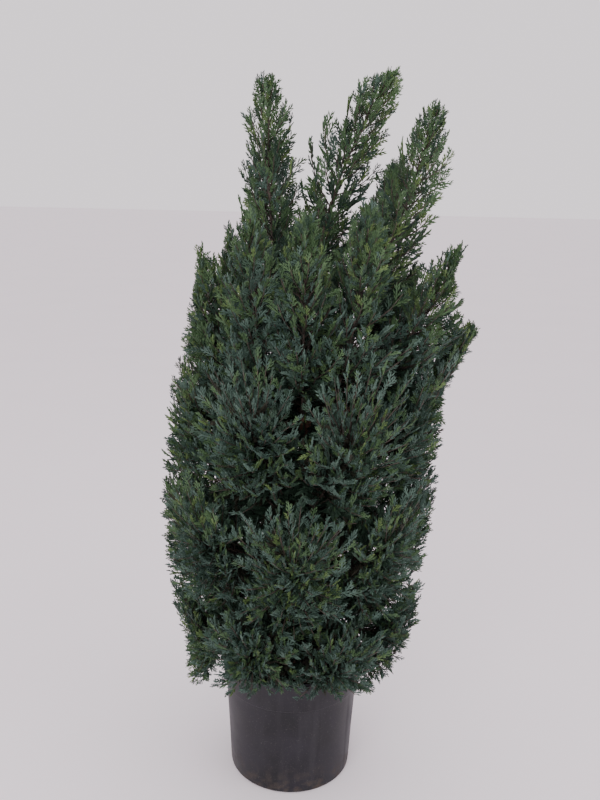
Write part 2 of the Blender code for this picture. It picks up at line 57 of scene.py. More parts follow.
boughNames = [n for n in nodeNames if n.startswith("bough_")]
massNames = [n for n in nodeNames if n not in ("pot", "soil", "trunk") and n not in boughNames]
print("frame loaded:", len(nodeNames), "nodes,", len(massNames), "masses")

# Lengths are in metres, the plant stands on z = 0 and its front faces -Y. Angles are in degrees,
# unless a note says otherwise.

goldenAngle = math.radians(137.508)
turnStart = (0.13, -0.97, 0.21)  # turns round a limb are counted from the side square to it and to this


# shader maths

class Wire:  # a socket that can stand in a sum
    def __init__(self, tree, socket):
        self.tree, self.socket = tree, socket

    def maths(self, operation, first, second):
        node = self.tree.nodes.new("ShaderNodeMath")
        node.operation = operation
        for socket, value in zip(node.inputs, (first, second)):
            if isinstance(value, Wire):
                self.tree.links.new(value.socket, socket)
            else:
                socket.default_value = value
        return Wire(self.tree, node.outputs[0])

    def __add__(self, other):
        return self.maths("ADD", self, other)

    def __radd__(self, other):
        return self.maths("ADD", other, self)

    def __sub__(self, other):
        return self.maths("SUBTRACT", self, other)

    def __rsub__(self, other):
        return self.maths("SUBTRACT", other, self)

    def __mul__(self, other):
        return self.maths("MULTIPLY", self, other)

    def __rmul__(self, other):
        return self.maths("MULTIPLY", other, self)


class Finish:  # one material
    def __init__(self, name):
        self.material = bpy.data.materials.new(name)
        self.material.use_nodes = True
        self.tree = self.material.node_tree
        self.shader = self.tree.nodes["Principled BSDF"]

    def node(self, kind, settings, values, output=0):
        made = self.tree.nodes.new(kind)
        for key, value in settings.items():
            setattr(made, key, value)
        for key, value in values.items():
            self.put(made.inputs[key], value)
        return Wire(self.tree, made.outputs[output])

    def put(self, socket, value):
        if isinstance(value, Wire):
            self.tree.links.new(value.socket, socket)
        elif socket.type == "RGBA":
            socket.default_value = (*value, 1.0)
        else:
            socket.default_value = value

    def place(self):
        return self.node("ShaderNodeTexCoord", {}, {}, "Object")

    def height(self):
        return self.node("ShaderNodeSeparateXYZ", {}, {0: self.place()}, 2)

    def noise(self, scale, detail, stretch=(1.0, 1.0, 1.0)):
        where = self.node("ShaderNodeMapping", {}, {0: self.place(), "Scale": stretch})
        return self.node("ShaderNodeTexNoise", {}, {"Vector": where, "Scale": scale, "Detail": detail})

    def between(self, wire, low, high):  # 0 below low, 1 above high
        values = {"Value": wire, "From Min": low, "From Max": high}
        return self.node("ShaderNodeMapRange", {"clamp": True}, values)

    def patches(self, low, high, *look):
        return self.between(self.noise(*look), low, high)

    def blend(self, share, first, second):
        values = {0: share, 6: first, 7: second}
        return self.node("ShaderNodeMix", {"data_type": "RGBA"}, values, 2)

    def bump(self, height, strength, distance):
        values = {"Height": height, "Strength": strength, "Distance": distance}
        return self.node("ShaderNodeBump", {}, values)

    def done(self, **values):
        for key, value in values.items():
            self.put(self.shader.inputs[key.replace("_", " ")], value)
        return self.material


# Finishes. A noise is its scale, detail and stretch, and patches have their two limits before that.
# A bump is its strength and depth, and rough is the roughness, then what each pattern adds to it.

leafLook = {
    "broad": (0.32, 0.68, 14.0, 2.0), "broadShare": 0.45,
    "fine": (0.30, 0.70, 420.0, 1.0), "fineShare": 0.55,
    "scales": (900.0, 1.0, (1.0, 1.0, 0.6)),
    "rough": (0.62, 0.14), "bump": (0.55, 0.0006),
}


def foliageFinish(name, dark, light, gloss):
    made, look = Finish(name), leafLook
    broad, fine = made.patches(*look["broad"]), made.patches(*look["fine"])
    return made.done(
        Base_Color=made.blend(broad * look["broadShare"] + fine * look["fineShare"], dark, light),
        Roughness=look["rough"][0] - look["rough"][1] * fine,
        Normal=made.bump(made.noise(*look["scales"]), *look["bump"]),
        Specular_IOR_Level=gloss,
    )


barkLook = {
    "dark": (0.060, 0.030, 0.021), "light": (0.205, 0.108, 0.072), "grey": (0.20, 0.165, 0.135),
    "fibre": (190.0, 4.0, (1.0, 1.0, 0.10)), "fibreLimits": (0.36, 0.66),
    "patch": (34.0, 3.0), "patchLimits": (0.50, 0.72), "patchShare": 0.45,
    "rough": (0.78, 0.14), "bump": (0.8, 0.0012),
}


def barkFinish():
    made, look = Finish("reddishBark"), barkLook
    fibre, patch = made.noise(*look["fibre"]), made.noise(*look["patch"])
    colour = made.blend(made.between(fibre, *look["fibreLimits"]), look["dark"], look["light"])
    grey = made.between(patch, *look["patchLimits"]) * look["patchShare"]
    return made.done(
        Base_Color=made.blend(grey, colour, look["grey"]),
        Roughness=look["rough"][0] + look["rough"][1] * patch,
        Normal=made.bump(fibre, *look["bump"]),
    )


twigLook = {
    "dark": (0.034, 0.026, 0.021), "light": (0.080, 0.058, 0.045),
    "ring": (260.0, 3.0, (1.0, 1.0, 0.4)), "ringLimits": (0.35, 0.65),
    "rough": 0.74, "bump": (0.5, 0.0005),
}


def twigFinish():
    made, look = Finish("youngTwig"), twigLook
    ring = made.noise(*look["ring"])
    colour = made.blend(made.between(ring, *look["ringLimits"]), look["dark"], look["light"])
    return made.done(Base_Color=colour, Roughness=look["rough"], Normal=made.bump(ring, *look["bump"]))


potLook = {
    "dark": (0.007, 0.007, 0.009), "light": (0.015, 0.014, 0.019), "cloud": (0.35, 0.70, 22.0, 4.0),
    "water": (0.060, 0.056, 0.063), "streak": (0.52, 0.72, 70.0, 3.0, (1.0, 1.0, 0.06)), "waterShare": 0.22,
    "splash": (0.090, 0.068, 0.050), "spots": (0.45, 0.65, 90.0, 4.0), "splashShare": 0.42,
    "splashLimits": (0.004, 0.040),  # heights between which splashed soil fades
    "dust": (0.120, 0.110, 0.100), "speck": (0.62, 0.72, 620.0, 2.0), "dustShare": 0.25,
    "grain": (1500.0, 2.0), "rough": (0.36, 0.16, 0.22, 0.20), "bump": (0.12, 0.0002), "gloss": 0.28,
}


def potFinish():
    made, look = Finish("darkPotPlastic"), potLook
    cloud, speck = made.patches(*look["cloud"]), made.patches(*look["speck"])
    streak, spots = made.patches(*look["streak"]), made.patches(*look["spots"])
    foot = (1.0 - made.between(made.height(), *look["splashLimits"])) * spots
    colour = made.blend(cloud, look["dark"], look["light"])
    colour = made.blend(streak * look["waterShare"], colour, look["water"])
    colour = made.blend(foot * look["splashShare"], colour, look["splash"])
    colour = made.blend(speck * look["dustShare"], colour, look["dust"])
    plain, byCloud, byStreak, byFoot = look["rough"]
    return made.done(
        Base_Color=colour,
        Roughness=plain + byCloud * cloud + byStreak * streak + byFoot * foot,
        Normal=made.bump(made.noise(*look["grain"]), *look["bump"]),
        Specular_IOR_Level=look["gloss"],
    )


soilLook = {
    "dark": (0.014, 0.009, 0.006), "light": (0.075, 0.046, 0.028), "chip": (0.16, 0.11, 0.07),
    "lump": (160.0, 5.0), "lumpLimits": (0.36, 0.64),
    "fibre": (0.60, 0.72, 420.0, 2.0, (1.0, 0.3, 1.0)), "chipShare": 0.5,
    "rough": 0.94, "bump": (0.9, 0.002),
}


def soilFinish():
    made, look = Finish("barkCompost"), soilLook
    lump = made.noise(*look["lump"])
    colour = made.blend(made.between(lump, *look["lumpLimits"]), look["dark"], look["light"])
    colour = made.blend(made.patches(*look["fibre"]) * look["chipShare"], colour, look["chip"])
    return made.done(Base_Color=colour, Roughness=look["rough"], Normal=made.bump(lump, *look["bump"]))


floorLook = {"dark": (0.89, 0.83, 0.865), "light": (0.93, 0.87, 0.905), "cloud": (3.0, 2.0), "rough": 0.85}


def floorFinish():
    made, look = Finish("paleFloor"), floorLook
    colour = made.blend(made.noise(*look["cloud"]), look["dark"], look["light"])
    return made.done(Base_Color=colour, Roughness=look["rough"])


# curves

def unit(vectors):
    return vectors / np.maximum(np.linalg.norm(vectors, axis=-1, keepdims=True), 1e-9)


def curvePoint(root, bend, tip, s):
    return root * (1 - s) ** 2 + bend * 2 * s * (1 - s) + tip * s * s


def curveHeading(root, bend, tip, s):
    return unit((bend - root) * (1 - s) + (tip - bend) * s)


def leant(along, aside, angle):  # along, leant towards aside
    return along * np.cos(angle)[..., None] + aside * np.sin(angle)[..., None]


def anySide(rng, heads):  # square to each heading, and otherwise any way round
    return unit(np.cross(heads, unit(rng.normal(size=(len(heads), 3)))))


# trunk and limbs, by the same rule as the solids

trunk = {
    "foot": 0.1453, "top": 0.600, "radius": 0.0080, "topRadius": 0.0028,
    "flareRadius": 0.0135, "flareHeight": 0.018, "flareFall": 1.6, "lean": (0.012, 0.004), "sway": 0.003,
}


def trunkShare(z):
    return (z - trunk["foot"]) / (trunk["top"] - trunk["foot"])


def trunkPoint(z):
    share = trunkShare(z)
    sway = trunk["sway"] * np.sin(math.tau * share)
    lean = trunk["lean"]
    return np.stack([lean[0] * share**2 - sway, lean[1] * share + sway, z], axis=-1)


def trunkRadius(z):
    fall = np.exp(-(z - trunk["foot"]) / trunk["flareHeight"] * trunk["flareFall"])
    flare = (trunk["flareRadius"] - trunk["radius"]) * fall
    return trunk["radius"] + (trunk["topRadius"] - trunk["radius"]) * trunkShare(z) + flare


def trunkHeights(count, crowding):  # closer together towards the foot
    return trunk["foot"] + (trunk["top"] - trunk["foot"]) * (np.arange(count + 1) / count) ** crowding


# height, reach to the left, to the right, to the front and back
crownOutline = np.array((
    (0.120, 0.122, 0.088, 0.110),
    (0.145, 0.143, 0.125, 0.128),
    (0.180, 0.136, 0.146, 0.136),
    (0.230, 0.155, 0.172, 0.146),
    (0.300, 0.165, 0.166, 0.155),
    (0.370, 0.170, 0.180, 0.162),
    (0.440, 0.165, 0.180, 0.162),
    (0.520, 0.156, 0.175, 0.156),
    (0.590, 0.134, 0.212, 0.146),
    (0.660, 0.118, 0.176, 0.132),
    (0.700, 0.092, 0.184, 0.122),
    (0.790, 0.079, 0.172, 0.105),
    (0.846, 0.070, 0.158, 0.085),
    (0.882, 0.050, 0.104, 0.060),
))
crownFoot, crownTop = crownOutline[0, 0], crownOutline[-1, 0]


def sideReach(z, toRight):
    left, right = (np.interp(z, crownOutline[:, 0], crownOutline[:, k]) for k in (1, 2))
    return np.where(toRight, right, left)


def frontReach(z):
    return np.interp(z, crownOutline[:, 0], crownOutline[:, 3])


# name, tip, height on the trunk, share of the curve that is bough, bend, width
leaders = (
    ("left_leader", (-0.041, 0.004, 0.873), 0.474, 0.26, 0.98, 0.042),
    ("right_leader", (0.151, -0.006, 0.845), 0.478, 0.26, 0.62, 0.046),
    ("front_left_plume", (-0.056, -0.086, 0.725), 0.400, 0.26, 0.92, 0.046),
    ("front_plume", (0.006, -0.108, 0.720), 0.430, 0.26, 0.92, 0.046),
    ("front_right_plume", (0.072, -0.088, 0.735), 0.415, 0.26, 0.92, 0.046),
    ("right_plume", (0.184, -0.032, 0.692), 0.440, 0.28, 0.66, 0.050),
    ("right_shoulder", (0.211, 0.010, 0.592), 0.385, 0.28, 0.70, 0.050),
    ("left_shoulder", (-0.115, -0.026, 0.684), 0.425, 0.26, 0.90, 0.048),
    ("left_back_plume", (-0.090, 0.070, 0.705), 0.410, 0.26, 0.90, 0.048),
    ("back_left_leader", (-0.046, 0.072, 0.800), 0.446, 0.28, 0.92, 0.044),
    ("back_plume", (0.030, 0.108, 0.728), 0.435, 0.26, 0.90, 0.048),
    ("back_right_leader", (0.118, 0.072, 0.782), 0.460, 0.28, 0.80, 0.046),
    ("right_back_plume", (0.148, 0.086, 0.660), 0.395, 0.26, 0.78, 0.048),
)
middleLeader = {"bend": (0.020, 0.002, 0.755), "tip": (0.100, -0.008, 0.8815), "width": 0.042}

# name, count, first azimuth, height on the trunk, rise from mass to mass, tip height, reach
rings = (
    ("upper_side", 7, 26.0, 0.325, 0.006, 0.530, 0.99),
    ("belly", 7, 0.0, 0.255, 0.006, 0.355, 0.99),
    ("skirt", 7, 26.0, 0.190, 0.006, 0.185, 0.98),
)

limbShape = {
    "leaderBend": 0.38,  # height of a leader's bend, of its rise
    "ringBend": 0.55, "ringLift": 0.004, "ringSag": 0.12,
    "ringSkip": 3, "tipFollows": 0.5,  # the tips share half of the rise from mass to mass
    "bare": 0.02,  # stem below the first twig, of the curve
    "twigBend": 0.55,
}

# Habits of growth. Twigs leave the stem, sprays leave the twigs, and inner sprays leave the stem too.
plume = {
    "twigs": 80, "lastTwig": 0.975, "crowding": 0.78, "lean": 42.0, "leanFall": 15.0, "leanJitter": 7.0,
    "length": 1.75, "lengthFall": 0.70, "lengthJitter": (0.66, 1.02), "longShare": 0.2, "longer": 1.3,
    "reach": 0.09, "taper": 0.52, "shortest": 0.006, "bow": 0.40, "bowAt": 0.5,  # bow in radians
    "sprays": 8, "spray": 0.0195, "from": 0.24, "lift": 0.20, "jitter": 0.10, "sag": 0.20,
    "inner": 30, "innerEnd": 0.50, "innerSize": 0.034, "past": 1.035,
}
tuft = {
    "twigs": 30, "middle": 0.60, "spread": 112, "rise": 0.22, "reach": 0.125,
    "lengthJitter": (0.90, 1.0), "rootFrom": 0.80, "rootFall": 0.55, "rootJitter": 0.05,
    "rootLimits": (0.2, 0.85),
    "sprays": 9, "spray": 0.0180, "from": 0.36, "lift": 0.62, "jitter": 0.24, "sag": 0.14,
    "inner": 60, "innerEnd": 0.82, "innerSize": 0.050, "past": 1.015,
}


class Limb:  # one curved stem, whose first share is a bare bough
    def __init__(self, name, habit, root, bend, tip, share=0.0, width=0.0):
        self.name, self.habit, self.share, self.width = name, habit, share, width
        self.root, self.bend, self.tip = (np.array(p, dtype=float) for p in (root, bend, tip))
        self.seed = sum(ord(letter) * (n + 1) for n, letter in enumerate(name))
        self.first = share + limbShape["bare"]

    def at(self, s):
        return curvePoint(self.root, self.bend, self.tip, np.asarray(s, dtype=float)[..., None])

    def tangent(self, s):
        return curveHeading(self.root, self.bend, self.tip, np.asarray(s, dtype=float)[..., None])

    def across(self, s, turn):
        tangent = self.tangent(s)
        side = unit(np.cross(tangent, turnStart))
        return leant(side, np.cross(tangent, side), turn)


def growLimbs():
    made, shape = [], limbShape
    for name, tip, height, share, bend, width in leaders:
        middle = (tip[0] * bend, tip[1] * bend, height + shape["leaderBend"] * (tip[2] - height))
        made.append(Limb(name, plume, trunkPoint(height), middle, tip, share, width))
    made.append(Limb("middle_leader", plume, trunkPoint(trunk["top"]), **middleLeader))
    for name, count, first, height, step, tipHeight, share in rings:
        for k in range(count):
            turn = math.radians(first + 360.0 * k / count)
            low = height + step * ((k * shape["ringSkip"]) % count)
            z = tipHeight + shape["tipFollows"] * (low - height)
            wide, deep = sideReach(z, math.sin(turn) > 0) * share, frontReach(z) * share
            tip = np.array((wide * math.sin(turn), -deep * math.cos(turn), z))
            root = trunkPoint(low)
            lift = shape["ringLift"] - shape["ringSag"] * (tip[2] - low)
            bend = root + (tip - root) * shape["ringBend"] + (0, 0, lift)
            made.append(Limb(f"{name}_{k + 1}", tuft, root, bend, tip))
    return made


space = {
    "pieces": 14, "crowding": 1.5,  # straight pieces that stand for a curve when distances are measured
    "between": 0.0006, "step": 0.004, "pot": 0.0020,
    "twigSlack": 0.005, "spraySlack": 0.016,  # how far twigs and sprays may pass into the next space
    "fringe": 0.046,  # how much higher the foliage ends at the front and back than at the sides
}


def clearOfPot(x, y, z, over):
    rim = potSizes["rimRadius"] + potSizes["bead"] + space["pot"]
    return (z > potSizes["rimHeight"] + over) | (np.hypot(x, y) > rim)


class CrownSpace:  # a point belongs to the mass whose curve it is nearest to
    def __init__(self, limbs):
        self.limbs = limbs
        starts, ends, owner = [], [], []
        for number, limb in enumerate(limbs):
            line = limb.at(np.arange(space["pieces"] + 1) / space["pieces"])
            if limb.name == "middle_leader":
                heights = trunkHeights(space["pieces"], space["crowding"])
                line = np.concatenate([trunkPoint(heights), line])
            starts.append(line[:-1])
            ends.append(line[1:])
            owner += [number] * (len(line) - 1)
        self.starts = np.concatenate(starts)
        self.along = np.concatenate(ends) - self.starts
        self.squares = np.maximum((self.along**2).sum(1), 1e-12)
        self.owner = np.array(owner)

    def distances(self, points):  # from every point to every piece of the curves
        offset = points[:, None, :] - self.starts[None]
        share = np.clip((offset * self.along[None]).sum(2) / self.squares[None], 0.0, 1.0)
        return np.linalg.norm(offset - share[..., None] * self.along[None], axis=2)

    def nearest(self, points):  # number of the limb that each point belongs to
        return self.owner[self.distances(points).argmin(1)]

    def own(self, limb, points, slack):
        apart, mine = self.distances(points), self.owner == self.limbs.index(limb)
        return apart[:, mine].min(1) + 2 * space["between"] < apart[:, ~mine].min(1) + slack

    def free(self, limb, points, share, slack):  # inside share of the outline and in the limb's own space
        x, y, z = points.T
        wide, deep = sideReach(z, x > 0) * share, frontReach(z) * share
        out = (x / wide) ** 2 + (y / deep) ** 2
        fringe = crownFoot + space["fringe"] * (y / deep) ** 2 / np.maximum(out, 1e-6)
        good = (z < crownTop) & (z > fringe) & (out <= 1.0) & clearOfPot(x, y, z, space["pot"])
        return good & self.own(limb, points, slack)

    def room(self, limb, starts, units, limit, share=1.0):  # how far each ray stays in the space
        steps = np.arange(1, int(limit / space["step"]) + 1) * space["step"]
        points = starts[:, None, :] + units[:, None, :] * steps[None, :, None]
        good = self.free(limb, points.reshape(-1, 3), share, space["twigSlack"])
        good = good.reshape(len(starts), -1)
        blocked = np.where(good.all(1), len(steps), (~good).argmax(1))
        return np.maximum(blocked, 1) * space["step"]


# twigs

def plumeTwigs(limb, crown):
    rng = np.random.default_rng(limb.seed)
    count = plume["twigs"]
    k = np.arange(count)
    share = (k + 0.5) / count
    s = limb.first + (plume["lastTwig"] - limb.first) * share ** plume["crowding"]
    jitter = rng.uniform(-plume["leanJitter"], plume["leanJitter"], count)
    lean = np.radians(plume["lean"] - plume["leanFall"] * share + jitter)
    tangent, radial = limb.tangent(s), limb.across(s, goldenAngle * k + limb.seed)
    heading, starts = unit(leant(tangent, radial, lean)), limb.at(s)
    wanted = limb.width * (plume["length"] - plume["lengthFall"] * share)
    wanted = wanted * rng.uniform(*plume["lengthJitter"], count)
    wanted = wanted * np.where(rng.random(count) < plume["longShare"], plume["longer"], 1.0)
    room = np.minimum(crown.room(limb, starts, heading, plume["reach"]), wanted)
    tapered = plume["taper"] * np.linalg.norm(limb.tip - starts, axis=1) + plume["shortest"]
    room = np.minimum(room, tapered)[:, None]
    wide = unit(leant(tangent, radial, lean + plume["bow"]))
    return starts, starts + wide * room * plume["bowAt"], starts + heading * room


def sagging(starts, ends, sag):  # where twigs bend that hang between their ends
    down = np.array((0, 0, 1.0)) * (np.linalg.norm(ends - starts, axis=1) * sag)[:, None]
    return starts + (ends - starts) * limbShape["twigBend"] - down


def tuftTwigs(limb, crown):
    rng = np.random.default_rng(limb.seed)
    count = tuft["twigs"]
    k = np.arange(count)
    share = (k + 0.5) / count
    middle = limb.at(tuft["middle"])
    out = unit(limb.tip - middle)
    side = unit(np.cross(out, (0.0, 0.0, 1.0)))
    radial = leant(side, np.cross(out, side), goldenAngle * k + limb.seed)
    lean = np.arccos(1 - (1 - math.cos(math.radians(tuft["spread"]))) * share)
    heading = unit(leant(out, radial, lean) + (0.0, 0.0, tuft["rise"]))
    room = crown.room(limb, np.repeat(middle[None], count, 0), heading, tuft["reach"])
    ends = middle + heading * (room * rng.uniform(*tuft["lengthJitter"], count))[:, None]
    jitter = rng.uniform(-tuft["rootJitter"], tuft["rootJitter"], count)
    starts = limb.at(np.clip(tuft["rootFrom"] - tuft["rootFall"] * share + jitter, *tuft["rootLimits"]))
    return starts, sagging(starts, ends, tuft["sag"]), ends


outlineTwigs = {
    "count": 1500, "low": 0.124, "high": 0.610, "depth": 0.09, "seed": 8,
    "turnJitter": 0.05,  # radians
    "rootLast": 0.9, "rootSteps": 30, "back": 0.20, "rootMost": 0.8,
}


def outlinePoints(crown):  # ends of twigs spread evenly over the crown's outline, and their limbs
    rng = np.random.default_rng(outlineTwigs["seed"])
    low, high, jitter = (outlineTwigs[key] for key in ("low", "high", "turnJitter"))
    k = np.arange(outlineTwigs["count"])
    z = low + (high - low) * (k + 0.5) / len(k)
    turn = goldenAngle * k + rng.uniform(-jitter, jitter, len(k))
    share = 1.0 - outlineTwigs["depth"] * rng.random(len(k))
    wide, deep = sideReach(z, np.sin(turn) > 0) * share, frontReach(z) * share
    x, y = wide * np.sin(turn), -deep * np.cos(turn)
    kept = clearOfPot(x, y, z, 0.0) & (z > low + space["fringe"] * np.cos(turn) ** 2)
    points = np.stack([x, y, z], axis=1)[kept]
    return points, crown.nearest(points)


def twigsTo(limb, ends):
    s = np.linspace(limb.first, outlineTwigs["rootLast"], outlineTwigs["rootSteps"])
    nearest = s[np.linalg.norm(ends[:, None] - limb.at(s)[None], axis=2).argmin(1)]
    starts = limb.at(np.clip(nearest - outlineTwigs["back"], limb.first, outlineTwigs["rootMost"]))
    return starts, sagging(starts, ends, limb.habit["sag"]), ends


# where the sprays grow

twigSprays = {
    "seed": 5, "end": 0.90, "spread": 0.5, "lean": (30, 46), "sizes": (0.68, 1.22),
    "tipZone": 0.08, "tipShrink": 0.42,  # smaller near the tip of the limb
    "lastFrom": 0.86, "lastOver": 1.10, "lastLeast": 0.015, "lastLift": 0.6,  # the spray that ends a twig
    "tries": (1.0, 0.8, 0.62),  # a spray that passes the outline is made smaller, or left out
    "overTop": 0.004, "leastRise": 0.1, "least": 0.006,
}


def spraysOn(limb, crown, starts, bends, ends):
    rng = np.random.default_rng(limb.seed + twigSprays["seed"])
    habit, sizes, count = limb.habit, twigSprays, len(starts)
    flat = anySide(rng, unit(ends - starts))  # normal of each twig's flat sprays
    lift = np.array((0, 0, habit["lift"]))
    near = 1.0 - np.linalg.norm(ends - limb.tip, axis=1) / sizes["tipZone"]
    shrink = 1.0 - sizes["tipShrink"] * np.clip(near, 0.0, 1.0)
    found = []
    for j in range(habit["sprays"] + 1):
        last = j == habit["sprays"]
        step = (j + rng.uniform(0, sizes["spread"], count)) / habit["sprays"]
        t = habit["from"] + (sizes["end"] - habit["from"]) * step
        t = (np.full(count, sizes["lastFrom"]) if last else t)[:, None]
        root, along = curvePoint(starts, bends, ends, t), curveHeading(starts, bends, ends, t)
        lean = np.zeros(count)
        if not last:
            lean = np.radians(rng.uniform(*sizes["lean"], count)) * (1 if j % 2 else -1)
        heading = unit(leant(along, np.cross(along, flat), lean))
        heading = unit(heading + rng.normal(scale=habit["jitter"], size=(count, 3)) + lift)
        size = habit["spray"] * rng.uniform(*sizes["sizes"], count) * shrink
        if last:
            left = ends - root
            size = np.maximum(np.linalg.norm(left, axis=1) * sizes["lastOver"], sizes["lastLeast"])
            heading = unit(unit(left) + lift * sizes["lastLift"])
        found.append((root, heading, flat, size, np.full(count, last)))
    roots, heads, normals, lengths, ending = (np.concatenate(v) for v in zip(*found))
    kept = np.zeros(len(roots), dtype=bool)
    for scale in sizes["tries"]:
        tried = lengths * scale
        good = crown.free(limb, roots + heads * tried[:, None], habit["past"], space["spraySlack"])
        fresh = good & ~kept
        lengths = np.where(fresh, tried, lengths)
        kept |= fresh
    kept |= ending
    most = (crownTop + sizes["overTop"] - roots[:, 2]) / np.maximum(heads[:, 2], sizes["leastRise"])
    lengths = np.minimum(lengths, np.maximum(most, sizes["least"]))
    return roots[kept], heads[kept], normals[kept], lengths[kept]


innerSprays = {
    "seed": 9, "after": 0.12, "boughShare": 0.8, "lean": (35, 75), "reach": 0.080,
    "turn": 1.0,  # radians
    "within": 0.90, "sizes": (0.8, 1.15), "out": 0.7, "least": 0.020,
}


def spraysInside(limb, crown):  # large dim sprays close to the stem, that shut the view through
    rng = np.random.default_rng(limb.seed + innerSprays["seed"])
    habit, sizes = limb.habit, innerSprays
    k = np.arange(habit["inner"])
    low = limb.share * sizes["boughShare"] + sizes["after"]
    s = low + (habit["innerEnd"] - low) * (k + 0.5) / len(k)
    lean = np.radians(rng.uniform(*sizes["lean"], len(k)))
    heads = unit(leant(limb.tangent(s), limb.across(s, goldenAngle * k + sizes["turn"]), lean))
    starts = limb.at(s)
    room = crown.room(limb, starts, heads, sizes["reach"], sizes["within"])
    lengths = habit["innerSize"] * rng.uniform(*sizes["sizes"], len(k))
    roots = starts + heads * np.maximum(room - lengths, 0.0)[:, None] * sizes["out"]
    kept = room > sizes["least"]
    lengths, normals = np.minimum(lengths, room), anySide(rng, heads)
    return roots[kept], heads[kept], normals[kept], lengths[kept]


deadTwigs = {
    "count": 340, "low": 0.172, "height": 0.40, "rise": (0.1, 0.9), "deep": 0.8,
    "lengths": (0.045, 0.075), "seed": 21,
}


def spraysOnTrunk():  # the dead inner twigs that still stand on the trunk
    rng = np.random.default_rng(deadTwigs["seed"])
    k = np.arange(deadTwigs["count"])
    z = deadTwigs["low"] + deadTwigs["height"] * (k + rng.random(len(k))) / len(k)
    turn = goldenAngle * k
    out = np.stack([np.sin(turn), -np.cos(turn), rng.uniform(*deadTwigs["rise"], len(k))], axis=1)
    roots = trunkPoint(z) + unit(out * (1, 1, 0)) * (trunkRadius(z) * deadTwigs["deep"])[:, None]
    heads, lengths = unit(out), rng.uniform(*deadTwigs["lengths"], len(k))
    return roots, heads, anySide(rng, heads), lengths


endSprays = {"count": 16, "from": 0.80, "to": 0.97, "lean": 0.55, "lengths": (0.019, 0.011), "least": 0.010}


def spraysAtEnd(limb):  # the sprays that carry a stem to its very tip
    k = np.arange(endSprays["count"])
    s = np.linspace(endSprays["from"], endSprays["to"], len(k))
    tangent, aside = limb.tangent(s), limb.across(s, goldenAngle * k)
    roots, heads = limb.at(s), unit(tangent + aside * endSprays["lean"])
    lengths = np.linspace(*endSprays["lengths"], len(k))
    left = limb.tip - roots[-1]
    heads[-1] = unit(left)
    lengths[-1] = max(float(np.linalg.norm(left)), endSprays["least"])
    return roots, heads, unit(np.cross(tangent, aside)), lengths


# meshes

def tubes(lines, radii, sides, relief=None):  # separate closed tubes along lines of points
    points, faces, base = [], [], 0
    turns = math.tau * np.arange(sides) / sides
    k = np.arange(sides)
    for line, radius in zip(lines, radii):
        tangent = unit(np.gradient(line, axis=0))
        side = unit(np.cross(tangent, turnStart))
        around = leant(side[:, None], np.cross(tangent, side)[:, None], turns)
        thick = np.repeat(radius[:, None], sides, 1)
        if relief:
            thick = thick * relief(line[:, None] + around * thick[..., None])
        points.append((line[:, None] + around * thick[..., None]).reshape(-1, 3))
        for j in range(len(line) - 1):
            a, b = base + j * sides + k, base + j * sides + (k + 1) % sides
            faces += np.stack([a, b, b + sides, a + sides], 1).tolist()
        faces.append((base + k[::-1]).tolist())
        faces.append((base + (len(line) - 1) * sides + k).tolist())
        base += len(line) * sides
    return np.concatenate(points), faces


def meshOf(name, points, faces, smooth=True):
    mesh = bpy.data.meshes.new(name)
    mesh.from_pydata([tuple(p) for p in points], [], faces)
    if smooth:
        mesh.shade_smooth()
    mesh.update()
    return mesh


def shown(name, mesh):  # an object of the scene with this mesh
    made = bpy.data.objects.new(name, mesh)
    bpy.context.scene.collection.objects.link(made)
    return made


def evaluatedMesh(holder):  # its mesh with the modifiers applied
    bpy.context.view_layer.update()
    return bpy.data.meshes.new_from_object(holder.evaluated_get(bpy.context.evaluated_depsgraph_get()))


def addPiece(name, mesh, material, replaced):
    made = shown(name, mesh)
    if material:
        mesh.materials.clear()
        mesh.materials.append(material)
    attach(made, "root")
    if replaced:
        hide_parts(*replaced)


sprayShape = {
    "variants": 6, "sides": 6, "seed": 11, "thick": 0.050, "taper": 0.85, "sway": 0.08, "droop": 0.10,
    "axis": (0.0, 0.40, 0.80, 1.0), "shoot": (0.0, 0.58, 1.0),  # the points of its axis and side shoots
    "low": 0.08, "over": 0.76, "uneven": 0.2, "lowest": 0.02,  # where the side shoots leave the axis
    "lean": 37.0, "leanJitter": 7, "rise": 0.24, "curl": (0.22, 0.16),
    "sideLength": 0.52, "shorter": 0.60, "lengths": (0.8, 1.15), "firstPair": 0.8, "widths": (0.9, 1.15),
}


def cords(chains, squareTo=(0.31, 0.22, 0.92)):  # three-sided cords, pointed at both ends
    points, faces = [], []
    for line, radii in chains:
        along = unit(line[-1] - line[0])
        side = unit(np.cross(along, squareTo))
        other = np.cross(along, side)
        first = len(points)
        points.append(line[0])
        for place, radius in zip(line[1:-1], radii):
            for k in range(3):
                turn = math.tau * k / 3
                points.append(place + (side * math.cos(turn) + other * math.sin(turn)) * radius)
        points.append(line[-1])
        for k in range(3):
            a, b = first + 1 + k, first + 1 + (k + 1) % 3
            faces.append((first, b, a))
            faces += [(a + j, b + j, b + j + 3, a + j + 3) for j in range(0, 3 * len(radii) - 3, 3)]
            faces.append((a + 3 * len(radii) - 3, b + 3 * len(radii) - 3, len(points) - 1))
    return points, faces


